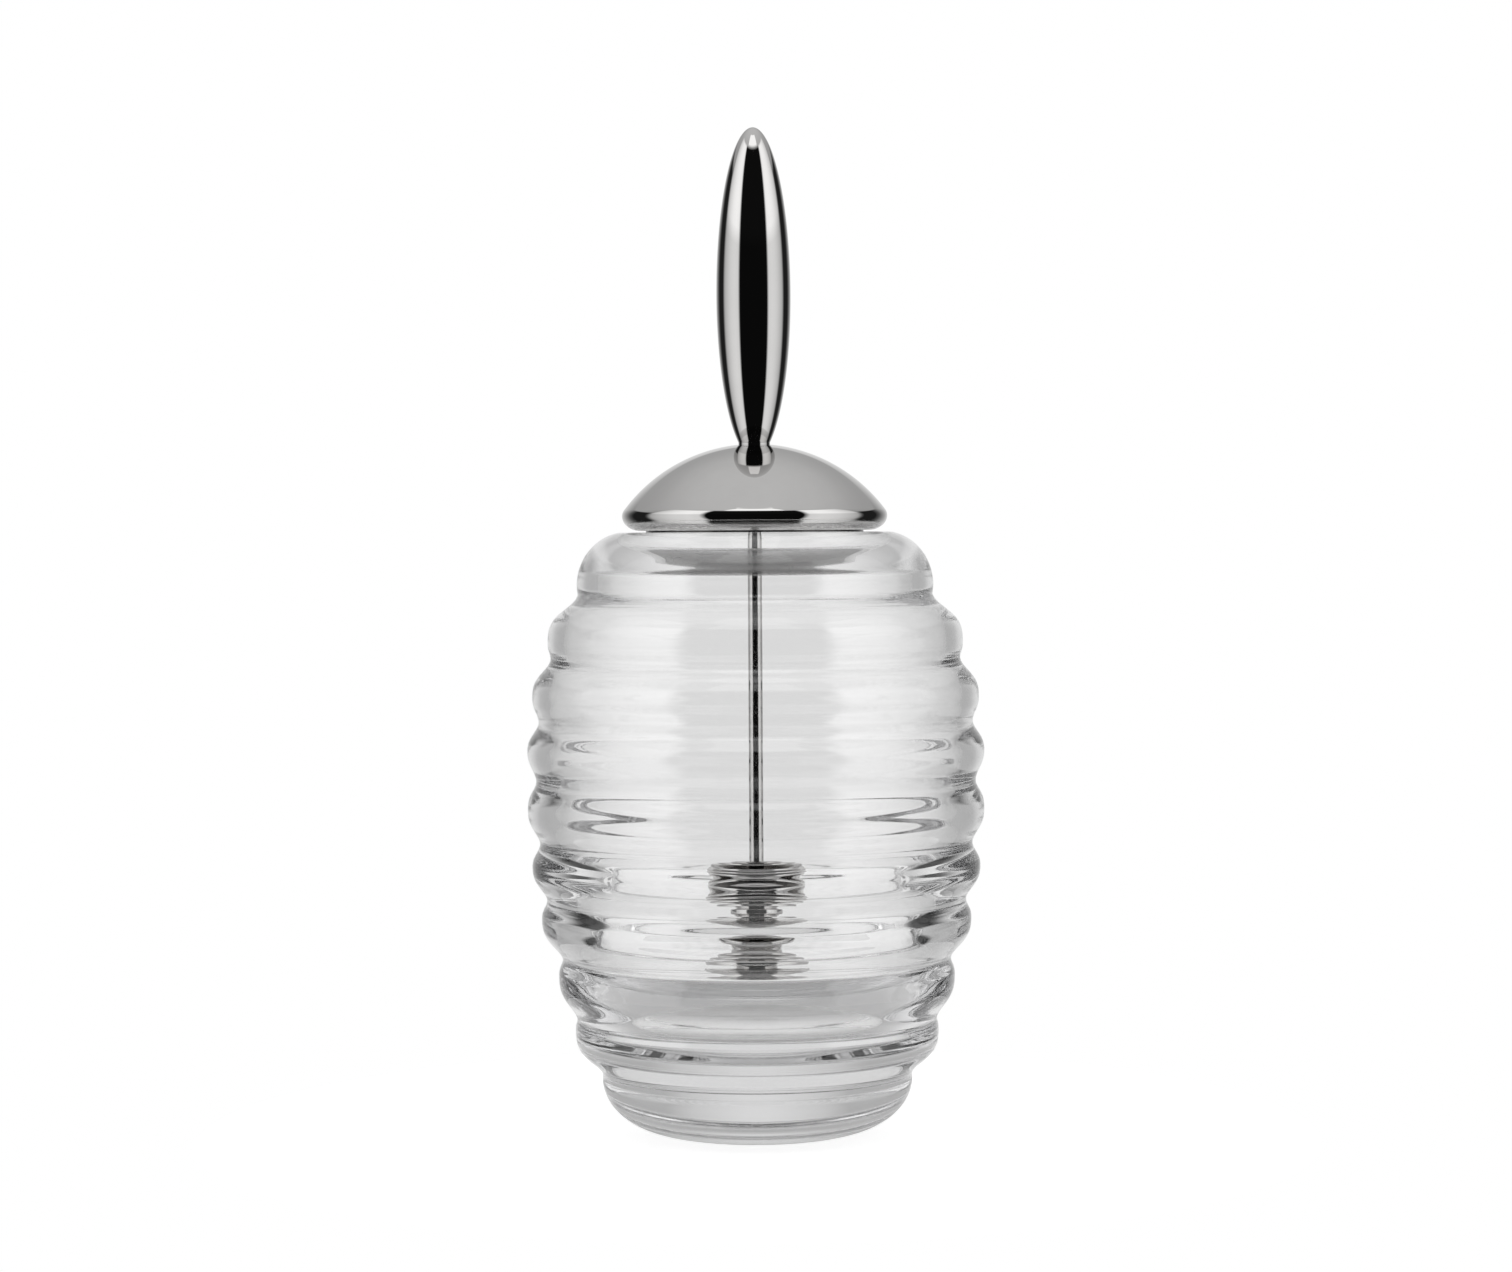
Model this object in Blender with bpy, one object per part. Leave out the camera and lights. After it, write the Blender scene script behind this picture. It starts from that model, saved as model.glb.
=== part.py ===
"""Honey pot: a ringed glass jar, and a domed steel lid that carries a handle above and a dipper below.

Lengths are in metres, +Z is up, and the origin is under the middle of the jar's foot.
"""
import math

import bmesh
import bpy
import numpy as np

# Glass jar
JAR_HEIGHT = 0.1182
JAR_RADIUS = 0.0450
MOUTH_RADIUS = 0.0218
NECK_DEPTH = 0.0016
TOP_FLAT_RADIUS = 0.0267
SHOULDER_REACH = 0.0098
WALL = 0.0032
FLOOR = 0.0206
FOOT_ROUNDING = 0.0106
FOOT_FLAT_RADIUS = 0.0160
PUNT_RADIUS = 0.0105
PUNT_DEPTH = 0.0008

# Domed lid, one sheet with its rim rolled under
LID_RADIUS = 0.0261
LID_SHEET = 0.0009
DOME_SPHERE_RADIUS = 0.0320
RIM_BEND_RADIUS = 0.0020
RIM_DROP = 0.0029
LIP_FLAT = 0.0008

# Pressed cup that closes the lid from below and centres it in the mouth
CUP_SHEET = 0.0006
CUP_DEPTH = 0.0012
CUP_FLANGE = 0.0013
CUP_CLEARANCE = 0.0004

# Handle
HANDLE_RADIUS = 0.0073
HANDLE_TOP_LENGTH = 0.0329
HANDLE_BOTTOM_LENGTH = 0.0289
HANDLE_NECK_RADIUS = 0.0031
THREAD_DEPTH = 0.0120

# Dipper rod and head
ROD_RADIUS = 0.0014
HEAD_STANDOFF = 0.0104
HEAD_RADIUS = 0.0104
HEAD_BARREL = 0.0100
HEAD_CORE_RADIUS = 0.0040
HEAD_DISC = 0.0012
HEAD_GROOVE = 0.00097
HEAD_DISC_COUNT = 9
HEAD_HUB = 0.0008
HEAD_EDGE_ROUNDING = 0.0004
HEAD_BORE_DEPTH = 0.0110

# Nut and washer that clamp the handle, under the top of the dome
NUT_ACROSS_FLATS = 0.0055
NUT_HEIGHT = 0.0024
WASHER_RADIUS = 0.0035
WASHER_THICKNESS = 0.0005

# Between pieces that touch, and round the rod where it passes through one
GAP = 0.0003
OVERRUN = 0.0010
MERGE = 0.000001

# The jar's rings from the top down, as shares of the jar's height and radius: height and radius of the
# groove above the ring, height and radius of its crest, then how full its upper and lower flanks stay
RING_SHARES = (
    (0.896, 0.776, 0.811, 0.908, 1.91, 0.88),
    (0.790, 0.895, 0.723, 0.977, 1.66, 1.10),
    (0.685, 0.949, 0.636, 1.000, 1.38, 1.19),
    (0.586, 0.961, 0.540, 0.999, 1.53, 1.44),
    (0.483, 0.946, 0.447, 0.981, 1.12, 1.50),
    (0.389, 0.917, 0.362, 0.941, 1.00, 1.66),
    (0.290, 0.850, 0.265, 0.868, 1.14, 1.60),
    (0.189, 0.788, 0.178, 0.796, 0.80, 2.01),
)
SHOULDER_HEIGHT_SHARE = 0.911
SHOULDER_RADIUS_SHARE = 0.780
FOOT_HEIGHT_SHARE = 0.099
FOOT_RADIUS_SHARE = 0.680

# The glass from the shoulder down: height as a share of the jar's, then the glass there and how far along
# it the rings are softened on the inside, both as multiples of the wall
GLASS_SHARES = (
    (0.911, 1.25, 0.28),
    (0.820, 0.97, 0.38),
    (0.724, 0.97, 0.38),
    (0.634, 1.16, 0.41),
    (0.592, 1.34, 0.50),
    (0.537, 1.50, 0.59),
    (0.482, 1.61, 0.69),
    (0.447, 1.92, 0.13),
    (0.419, 2.22, 0.16),
    (0.389, 1.93, 0.33),
    (0.362, 2.18, 0.42),
    (0.321, 2.30, 0.66),
    (0.290, 1.85, 1.33),
    (0.258, 2.80, 1.33),
    (0.203, 3.75, 1.32),
)
# Inside the shoulder: radius and depth, as shares of the way from the mouth's lower end to the glass above
NECK_SHARES = ((0.0, 0.0), (0.30, 0.075), (0.63, 0.39), (0.82, 0.58), (0.98, 0.77))
# The bowl: radius and height above the floor, as shares of those at the last place above
BOWL_SHARES = ((0.95, 0.56), (0.84, 0.24), (0.62, 0.09), (0.31, 0.02), (0.0, 0.0))

FLANK_STEPS = 4
CURVE_STEPS = 6
INSIDE_STEPS = 50
SMOOTHING_STEPS = 4
SOFTENING_STEPS = 12
JAR_SIDES = 40
LID_SIDES = 36
HANDLE_SIDES = 24
HEAD_SIDES = 24
ROD_SIDES = 12
HEX_SIDES = 6
SHARP_ANGLE = math.radians(40)
QUARTER = math.pi / 2

# Heights where the pieces meet
lip_bottom = JAR_HEIGHT + GAP
rim_height = lip_bottom + RIM_DROP
cup_bottom = JAR_HEIGHT - CUP_DEPTH
head_bottom = FLOOR + HEAD_STANDOFF
disc_pitch = HEAD_DISC + HEAD_GROOVE
head_height = HEAD_DISC_COUNT * disc_pitch - HEAD_GROOVE + 2 * HEAD_HUB
bore_radius = ROD_RADIUS + GAP
cup_radius = MOUTH_RADIUS - CUP_CLEARANCE
lip_radius = cup_radius + GAP


def clear_scene():
    """Remove whatever the opened file holds."""
    for thing in list(bpy.data.objects):
        bpy.data.objects.remove(thing, do_unlink=True)


def material(name, colour, roughness, metallic=0.0, transmission=0.0, ior=1.5):
    """A Principled material with one colour and finish."""
    look = bpy.data.materials.new(name)
    look.use_nodes = True
    shader = look.node_tree.nodes["Principled BSDF"]
    shader.inputs["Base Color"].default_value = (*colour, 1.0)
    shader.inputs["Roughness"].default_value = roughness
    shader.inputs["Metallic"].default_value = metallic
    shader.inputs["Transmission Weight"].default_value = transmission
    shader.inputs["IOR"].default_value = ior
    return look


def place(name, bm, look, carrier=None):
    """Turn a finished bmesh into a named object that rides on its carrier."""
    mesh = bpy.data.meshes.new(name)
    bm.to_mesh(mesh)
    bm.free()
    mesh.materials.append(look)
    mesh.shade_smooth()
    mesh.set_sharp_from_angle(angle=SHARP_ANGLE)
    piece = bpy.data.objects.new(name, mesh)
    bpy.context.collection.objects.link(piece)
    if carrier:
        piece.parent = carrier
        piece.location.z = -carrier.location.z
    return piece


def turned(name, outline, sides, look, carrier=None):
    """Spin an outline of (radius, height) points; one that leaves the axis clear is closed into a loop."""
    bm = bmesh.new()
    points = [bm.verts.new((radius, 0.0, height)) for radius, height in outline]
    for upper, lower in zip(points, points[1:]):
        bm.edges.new((upper, lower))
    if outline[0][0] > 0:
        bm.edges.new((points[-1], points[0]))
    bmesh.ops.spin(bm, geom=bm.verts[:] + bm.edges[:], axis=(0, 0, 1), cent=(0, 0, 0),
                   angle=2 * math.pi, steps=sides, use_merge=True)
    bmesh.ops.remove_doubles(bm, verts=bm.verts[:], dist=MERGE)
    bmesh.ops.recalc_face_normals(bm, faces=bm.faces[:])
    return place(name, bm, look, carrier)


def arc(centre, across, up, start, end, steps):
    """Points along part of an ellipse, with angles measured from its widest side."""
    angles = (start + (end - start) * step / steps for step in range(steps + 1))
    return [(centre[0] + across * math.cos(a), centre[1] + up * math.sin(a)) for a in angles]


def smoothed(points, steps):
    """The points joined by a smooth curve through all of them."""
    ends = np.array([points[0], *points, points[-1]])
    curve = []
    for before, start, end, after in zip(ends, ends[1:], ends[2:], ends[3:]):
        for share in np.arange(steps) / steps:
            bend = 2 * before - 5 * start + 4 * end - after + share * (3 * (start - end) + after - before)
            curve.append(tuple((start + share * (end - before + share * bend) / 2).tolist()))
    return curve + [points[-1]]


def softened(outline, height, reach):
    """The radius of an outline that runs down, averaged over a reach along its height."""
    radii, heights = np.array(outline[::-1]).T
    spread = np.linspace(-2.0, 2.0, SOFTENING_STEPS + 1)
    near = np.interp(height + spread * reach, heights, radii)
    return float(np.average(near, weights=np.exp(-spread ** 2 / 2)))


def flank(groove, crest, power):
    """Half a ring, from its groove to its crest: a cosine wave that stays full near the crest."""
    points = []
    for step in range(FLANK_STEPS + 1):
        drop = 1 - step / FLANK_STEPS
        fullness = math.cos(QUARTER * drop ** power) ** 2
        radius = groove[0] + (crest[0] - groove[0]) * fullness
        points.append((radius, crest[1] + (groove[1] - crest[1]) * drop))
    return points


def jar_outside():
    """The jar's outside from the edge of its flat top, down over the rings to the edge of its flat foot."""
    shoulder = (SHOULDER_RADIUS_SHARE * JAR_RADIUS, SHOULDER_HEIGHT_SHARE * JAR_HEIGHT)
    centre = (shoulder[0] - SHOULDER_REACH, shoulder[1])
    top_angle = math.acos((TOP_FLAT_RADIUS - centre[0]) / SHOULDER_REACH)
    rise = (JAR_HEIGHT - shoulder[1]) / math.sin(top_angle)
    points = arc(centre, SHOULDER_REACH, rise, top_angle, 0.0, CURVE_STEPS)
    grooves = [(radius * JAR_RADIUS, height * JAR_HEIGHT) for height, radius, *_ in RING_SHARES]
    crests = [(ring[3] * JAR_RADIUS, ring[2] * JAR_HEIGHT) for ring in RING_SHARES]
    grooves.append((FOOT_RADIUS_SHARE * JAR_RADIUS, FOOT_HEIGHT_SHARE * JAR_HEIGHT))
    for above, crest, below, ring in zip(grooves, crests, grooves[1:], RING_SHARES):
        points += flank(above, crest, ring[4])[:-1]
        points += flank(below, crest, ring[5])[:0:-1]
    points.append(grooves[-1])
    foot = (FOOT_FLAT_RADIUS, FOOT_ROUNDING)
    return points + arc(foot, grooves[-1][0] - foot[0], foot[1], 0.0, -QUARTER, CURVE_STEPS)


def jar_inside(outside):
    """The jar's inside from the middle of its floor, up the bowl and the wall, to the mouth.

    The wall follows the rings outside it, softened over a reach that is long where the glass is thick.
    """
    places, glass, reaches = np.array(smoothed(GLASS_SHARES[::-1], SMOOTHING_STEPS)).T
    wall = []
    for place in np.linspace(places[0], places[-1], INSIDE_STEPS + 1).tolist():
        height = place * JAR_HEIGHT
        around = softened(outside, height, float(np.interp(place, places, reaches)) * WALL)
        wall.append((around - float(np.interp(place, places, glass)) * WALL, height))
    bowl = [(radius * wall[0][0], FLOOR + height * (wall[0][1] - FLOOR)) for radius, height in BOWL_SHARES]
    top = JAR_HEIGHT - NECK_DEPTH
    neck = [(MOUTH_RADIUS + radius * (wall[-1][0] - MOUTH_RADIUS), top - depth * (top - wall[-1][1]))
            for radius, depth in NECK_SHARES]
    return bowl[::-1] + wall + neck[::-1] + [(MOUTH_RADIUS, JAR_HEIGHT)]


def make_jar(look):
    """Blown glass, one piece: thin at the mouth, solid at the foot, with a shallow punt under it."""
    outside = jar_outside()
    punt = [(PUNT_RADIUS, 0.0), (0.0, PUNT_DEPTH)]
    return turned("glass_jar", jar_inside(outside) + outside + punt, JAR_SIDES, look)


def dome_outline(inset):
    """The dome's face, a sheet's depth inside the outer one, from the lip's end up to the middle."""
    bend = RIM_BEND_RADIUS - inset
    reach = (DOME_SPHERE_RADIUS - RIM_BEND_RADIUS)
    slope = math.acos((LID_RADIUS - RIM_BEND_RADIUS) / reach)
    bend_centre = (LID_RADIUS - RIM_BEND_RADIUS, rim_height)
    sphere_centre = (0.0, rim_height - reach * math.sin(slope))
    sphere = DOME_SPHERE_RADIUS - inset
    top = math.acos(bore_radius / sphere)
    tuck = (lip_radius + LIP_FLAT, rim_height)
    points = [(lip_radius, lip_bottom + inset)]
    points += arc(tuck, LID_RADIUS - tuck[0] - inset, RIM_DROP - inset, -QUARTER, 0.0, CURVE_STEPS)
    points += arc(bend_centre, bend, bend, 0.0, slope, FLANK_STEPS)[1:]
    return points + arc(sphere_centre, sphere, sphere, slope, top, CURVE_STEPS)[1:]


def make_dome(look, carrier):
    """Steel sheet drawn into a dome, its rim rolled under to sit on the glass."""
    outline = dome_outline(0.0) + dome_outline(LID_SHEET)[::-1]
    return turned("lid_dome", outline, LID_SIDES, look, carrier)


def make_cup(look, carrier):
    """Steel cup pressed from sheet: its flange lies on the dome's lip and its wall goes into the mouth."""
    flange_bottom = lip_bottom + LID_SHEET + GAP
    flange_top = flange_bottom + CUP_SHEET
    inner = cup_radius - CUP_SHEET
    floor_top = cup_bottom + CUP_SHEET
    outline = [
        (bore_radius, cup_bottom), (cup_radius, cup_bottom), (cup_radius, flange_bottom),
        (lip_radius + CUP_FLANGE, flange_bottom), (lip_radius + CUP_FLANGE, flange_top),
        (inner, flange_top), (inner, floor_top), (bore_radius, floor_top),
    ]
    return turned("lid_cup", outline, LID_SIDES, look, carrier)


def dome_height(radius, inset):
    """Height of the dome's face at a radius."""
    reach = DOME_SPHERE_RADIUS - RIM_BEND_RADIUS
    centre = rim_height - math.sqrt(reach ** 2 - (LID_RADIUS - RIM_BEND_RADIUS) ** 2)
    return centre + math.sqrt((DOME_SPHERE_RADIUS - inset) ** 2 - radius ** 2)


def make_handle(look, carrier):
    """Solid turned spindle, two half ellipses end to end, bored and threaded from below."""
    neck_height = dome_height(bore_radius, 0.0) + GAP
    widest = (0.0, neck_height + HANDLE_BOTTOM_LENGTH)
    neck_angle = math.acos(HANDLE_NECK_RADIUS / HANDLE_RADIUS)
    full_length = HANDLE_BOTTOM_LENGTH / math.sin(neck_angle)
    outline = [(0.0, neck_height + THREAD_DEPTH), (bore_radius, neck_height + THREAD_DEPTH)]
    outline.append((bore_radius, neck_height))
    outline += arc(widest, HANDLE_RADIUS, full_length, -neck_angle, 0.0, CURVE_STEPS)
    outline += arc(widest, HANDLE_RADIUS, HANDLE_TOP_LENGTH, 0.0, QUARTER, CURVE_STEPS + FLANK_STEPS)[1:-1]
    outline.append((0.0, widest[1] + HANDLE_TOP_LENGTH))
    return turned("handle", outline, HANDLE_SIDES, look, carrier), neck_height


def make_rod(look, carrier, neck_height):
    """Straight steel rod from the head's bore, through the lid, into the handle."""
    bottom = head_bottom + head_height - HEAD_BORE_DEPTH + GAP
    top = neck_height + THREAD_DEPTH - GAP
    outline = [(0.0, bottom), (ROD_RADIUS, bottom), (ROD_RADIUS, top), (0.0, top)]
    return turned("dipper_rod", outline, ROD_SIDES, look, carrier)


def make_head(look, carrier):
    """Steel head turned from one bar: rounded discs cut to a barrel, with deep grooves that hold honey."""
    top = head_bottom + head_height
    outline = [(0.0, head_bottom), (HEAD_CORE_RADIUS, head_bottom)]
    outline.append((HEAD_CORE_RADIUS, head_bottom + HEAD_HUB))
    before = None
    for disc in range(HEAD_DISC_COUNT):
        low = head_bottom + HEAD_HUB + disc * disc_pitch
        high = low + HEAD_DISC
        from_middle = (disc - (HEAD_DISC_COUNT - 1) / 2) * disc_pitch
        radius = HEAD_RADIUS * math.sqrt(1 - (from_middle / HEAD_BARREL) ** 2)
        edge = radius - HEAD_EDGE_ROUNDING
        for step in range(1, FLANK_STEPS if before else 0):
            share = step / FLANK_STEPS
            brim = before + share * (edge - before)
            depth = (brim - HEAD_CORE_RADIUS) * math.sin(math.pi * share)
            outline.append((brim - depth, low - HEAD_GROOVE * (1 - share)))
        outline += [(edge, low), (radius, low + HEAD_EDGE_ROUNDING)]
        outline += [(radius, high - HEAD_EDGE_ROUNDING), (edge, high)]
        before = edge
    outline += [(HEAD_CORE_RADIUS, top - HEAD_HUB), (HEAD_CORE_RADIUS, top), (bore_radius, top)]
    outline += [(bore_radius, top - HEAD_BORE_DEPTH), (0.0, top - HEAD_BORE_DEPTH)]
    return turned("dipper_head", outline, HEAD_SIDES, look, carrier)


def make_washer(look, carrier, top):
    """Flat washer on the rod, between the nut and the dome."""
    bottom = top - WASHER_THICKNESS
    outline = [(bore_radius, bottom), (WASHER_RADIUS, bottom), (WASHER_RADIUS, top), (bore_radius, top)]
    return turned("lid_washer", outline, HEAD_SIDES, look, carrier)


def make_nut(look, carrier, top):
    """Hexagon nut on the rod, bored through."""
    bm = bmesh.new()
    corner = NUT_ACROSS_FLATS / 2 / math.cos(math.pi / HEX_SIDES)
    bmesh.ops.create_cone(bm, cap_ends=True, segments=HEX_SIDES, radius1=corner, radius2=corner,
                          depth=NUT_HEIGHT)
    bmesh.ops.translate(bm, verts=bm.verts[:], vec=(0, 0, top - NUT_HEIGHT / 2))
    nut = place("lid_nut", bm, look, carrier)
    bore = bmesh.new()
    bmesh.ops.create_cone(bore, cap_ends=True, segments=ROD_SIDES, radius1=bore_radius, radius2=bore_radius,
                          depth=NUT_HEIGHT + 2 * OVERRUN)
    bmesh.ops.translate(bore, verts=bore.verts[:], vec=(0, 0, top - NUT_HEIGHT / 2))
    cutter = place("nut_bore_cutter", bore, look, carrier)
    cutter.hide_render = True
    cutter.display_type = "WIRE"
    cut = nut.modifiers.new("bore", "BOOLEAN")
    cut.operation = "DIFFERENCE"
    cut.solver = "EXACT"
    cut.object = cutter
    return nut


def build():
    """Make every piece: the jar stands, and all the rest hangs on the lid that lifts off it."""
    clear_scene()
    glass = material("clear glass", (0.97, 0.97, 0.97), 0.0, transmission=1.0, ior=1.52)
    mirror = material("mirror polished steel", (0.62, 0.61, 0.60), 0.05, metallic=1.0)
    plain = material("plain steel", (0.55, 0.55, 0.54), 0.25, metallic=1.0)
    lift = bpy.data.objects.new("lid_lift_axis", None)
    lift.location.z = JAR_HEIGHT
    bpy.context.collection.objects.link(lift)

    make_jar(glass)
    make_dome(mirror, lift)
    make_cup(mirror, lift)
    neck_height = make_handle(mirror, lift)[1]
    make_rod(mirror, lift, neck_height)
    make_head(mirror, lift)
    washer_top = dome_height(WASHER_RADIUS, LID_SHEET) - GAP
    make_washer(plain, lift, washer_top)
    make_nut(plain, lift, washer_top - WASHER_THICKNESS - GAP)


build()
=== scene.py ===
"""Honey pot: the looks of a ringed glass jar under a domed steel lid that carries a handle and a dipper.

Lengths are in metres and +Z is up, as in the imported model, whose boxes give the pieces' sizes and places.
"""
import math

import bmesh
import bpy
import numpy as np
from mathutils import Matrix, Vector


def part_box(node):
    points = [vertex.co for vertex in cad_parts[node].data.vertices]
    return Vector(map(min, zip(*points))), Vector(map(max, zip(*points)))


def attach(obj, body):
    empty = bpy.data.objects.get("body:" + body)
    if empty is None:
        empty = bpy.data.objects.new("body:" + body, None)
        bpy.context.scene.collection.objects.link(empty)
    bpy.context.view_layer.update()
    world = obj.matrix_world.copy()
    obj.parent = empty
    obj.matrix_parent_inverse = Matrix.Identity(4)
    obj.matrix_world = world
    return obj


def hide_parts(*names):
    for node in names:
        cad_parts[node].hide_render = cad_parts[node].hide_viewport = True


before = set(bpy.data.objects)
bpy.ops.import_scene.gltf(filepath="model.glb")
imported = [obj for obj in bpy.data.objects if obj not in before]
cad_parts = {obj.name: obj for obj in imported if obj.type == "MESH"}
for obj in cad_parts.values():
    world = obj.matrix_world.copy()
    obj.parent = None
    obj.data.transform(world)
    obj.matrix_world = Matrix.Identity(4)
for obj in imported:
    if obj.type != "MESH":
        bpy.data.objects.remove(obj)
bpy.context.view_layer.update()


# Glass jar
# One piece of clear soda-lime glass, blown into a ringed mould and fire polished. The wall follows the
# rings outside it, thin at the shoulder and growing to a thick, nearly solid foot with a shallow punt.
jar_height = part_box("glass_jar")[1].z
jar_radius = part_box("glass_jar")[1].x

# The rings from the top down, as shares of the jar's height and radius: height and radius of the groove
# above the ring, height and radius of its crest, then how full its upper and lower flanks stay
ring_shares = (
    (0.896, 0.776, 0.811, 0.908, 1.91, 0.88),
    (0.790, 0.895, 0.723, 0.977, 1.66, 1.10),
    (0.685, 0.949, 0.636, 1.000, 1.38, 1.19),
    (0.586, 0.961, 0.540, 0.999, 1.53, 1.44),
    (0.483, 0.946, 0.447, 0.981, 1.12, 1.50),
    (0.389, 0.917, 0.362, 0.941, 1.00, 1.66),
    (0.290, 0.850, 0.265, 0.868, 1.14, 1.60),
    (0.189, 0.788, 0.178, 0.796, 0.80, 2.01),
)
foot_groove = (0.680 * jar_radius, 0.099 * jar_height)
shoulder = (0.780 * jar_radius, 0.911 * jar_height)
shoulder_reach = 0.0098
top_flat_radius = 0.0267
foot_rounding = 0.0106
foot_flat_radius = 0.0160
punt_radius = 0.0105
punt_depth = 0.0008
mouth_radius = 0.0218
neck_depth = 0.0016
wall = 0.0032
floor_height = 0.0206

# The glass from the shoulder down: height as a share of the jar's, then the glass there and how far along
# it the rings are softened on the inside, both as multiples of the wall
glass_shares = (
    (0.911, 1.25, 0.28),
    (0.820, 0.97, 0.38),
    (0.724, 0.97, 0.38),
    (0.634, 1.16, 0.41),
    (0.592, 1.34, 0.50),
    (0.537, 1.50, 0.59),
    (0.482, 1.61, 0.69),
    (0.447, 1.92, 0.13),
    (0.419, 2.22, 0.16),
    (0.389, 1.93, 0.33),
    (0.362, 2.18, 0.42),
    (0.321, 2.30, 0.66),
    (0.290, 1.85, 1.33),
    (0.258, 2.80, 1.33),
    (0.203, 3.75, 1.32),
)
# Inside the shoulder: radius and depth, as shares of the way from the mouth's lower end to the glass above
neck_shares = ((0.0, 0.0), (0.30, 0.075), (0.63, 0.39), (0.82, 0.58), (0.98, 0.77))
# The bowl: radius and height above the floor, as shares of those at the last place above
bowl_shares = ((0.95, 0.56), (0.84, 0.24), (0.62, 0.09), (0.31, 0.02), (0.0, 0.0))

flank_steps = 13
curve_steps = 20
inside_steps = 150
softening_steps = 24
softening_limit = 2.0
smoothing_steps = 8
mould_softening = 0.0004
jar_sides = 192
merge_distance = 0.000001
sharp_angle = math.radians(35)
quarter = math.pi / 2


def linear(colour):
    """An sRGB hex colour as the linear one that a shader takes."""
    channels = [int(colour[at:at + 2], 16) / 255 for at in (1, 3, 5)]
    return (*(c / 12.92 if c <= 0.04045 else ((c + 0.055) / 1.055) ** 2.4 for c in channels), 1.0)


def add_node(tree, kind, *inputs, **settings):
    """Add a node with its settings. Each input is a value, an output or a node to link from, or None."""
    node = tree.nodes.new(kind)
    for name, value in settings.items():
        setattr(node, name, value)
    for socket, value in zip(node.inputs, inputs):
        if isinstance(value, bpy.types.Node):
            value = value.outputs[0]
        if isinstance(value, bpy.types.NodeSocket):
            tree.links.new(value, socket)
        elif value is not None:
            socket.default_value = value
    return node


def arc(centre, across, up, start, end, steps):
    """Points along part of an ellipse, with angles measured from its widest side."""
    angles = (start + (end - start) * step / steps for step in range(steps + 1))
    return [(centre[0] + across * math.cos(a), centre[1] + up * math.sin(a)) for a in angles]


def smoothed(points, steps):
    """The points joined by a smooth curve through all of them."""
    ends = np.array([points[0], *points, points[-1]])
    curve = []
    for before, start, end, after in zip(ends, ends[1:], ends[2:], ends[3:]):
        for share in np.arange(steps) / steps:
            bend = 2 * before - 5 * start + 4 * end - after + share * (3 * (start - end) + after - before)
            curve.append(tuple((start + share * (end - before + share * bend) / 2).tolist()))
    return curve + [points[-1]]


def softened(outline, height, reach):
    """The radius of an outline that runs down, averaged over a reach along its height."""
    radii, heights = np.array(outline[::-1]).T
    spread = np.linspace(-softening_limit, softening_limit, softening_steps + 1)
    near = np.interp(height + spread * reach, heights, radii)
    return float(np.average(near, weights=np.exp(-spread ** 2 / 2)))


def flank(groove, crest, power):
    """Half a ring, from its groove to its crest: a cosine wave that stays full near the crest."""
    points = []
    for step in range(flank_steps + 1):
        drop = 1 - step / flank_steps
        fullness = math.cos(quarter * drop ** power) ** 2
        radius = groove[0] + (crest[0] - groove[0]) * fullness
        points.append((radius, crest[1] + (groove[1] - crest[1]) * drop))
    return points


def jar_outside():
    """The jar's outside from the edge of its flat top, down over the rings to the edge of its flat foot."""
    centre = (shoulder[0] - shoulder_reach, shoulder[1])
    top_angle = math.acos((top_flat_radius - centre[0]) / shoulder_reach)
    rise = (jar_height - shoulder[1]) / math.sin(top_angle)
    points = arc(centre, shoulder_reach, rise, top_angle, 0.0, curve_steps)
    grooves = [(ring[1] * jar_radius, ring[0] * jar_height) for ring in ring_shares] + [foot_groove]
    crests = [(ring[3] * jar_radius, ring[2] * jar_height) for ring in ring_shares]
    for above, crest, below, ring in zip(grooves, crests, grooves[1:], ring_shares):
        points += flank(above, crest, ring[4])[:-1]
        points += flank(below, crest, ring[5])[:0:-1]
    points.append(foot_groove)
    foot = (foot_flat_radius, foot_rounding)
    points += arc(foot, foot_groove[0] - foot[0], foot[1], 0.0, -quarter, curve_steps)
    on_rings = (foot_groove[1], grooves[0][1])
    return [(softened(points, height, mould_softening), height) if on_rings[0] < height < on_rings[1]
            else (radius, height) for radius, height in points]


def jar_inside(outside):
    """The jar's inside from the middle of its floor, up the bowl and the wall, to the mouth."""
    places, glass, reaches = np.array(smoothed(glass_shares[::-1], smoothing_steps)).T
    inside = []
    for place in np.linspace(places[0], places[-1], inside_steps + 1).tolist():
        height = place * jar_height
        around = softened(outside, height, float(np.interp(place, places, reaches)) * wall)
        inside.append((around - float(np.interp(place, places, glass)) * wall, height))
    low, high = inside[0], inside[-1]
    bowl = [(radius * low[0], floor_height + height * (low[1] - floor_height))
            for radius, height in bowl_shares]
    neck_top = jar_height - neck_depth
    neck = [(mouth_radius + radius * (high[0] - mouth_radius), neck_top - depth * (neck_top - high[1]))
            for radius, depth in neck_shares]
    return (smoothed(bowl[::-1] + [low], smoothing_steps)[:-1] + inside
            + smoothed([high] + neck[::-1], smoothing_steps)[1:] + [(mouth_radius, jar_height)])


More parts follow.
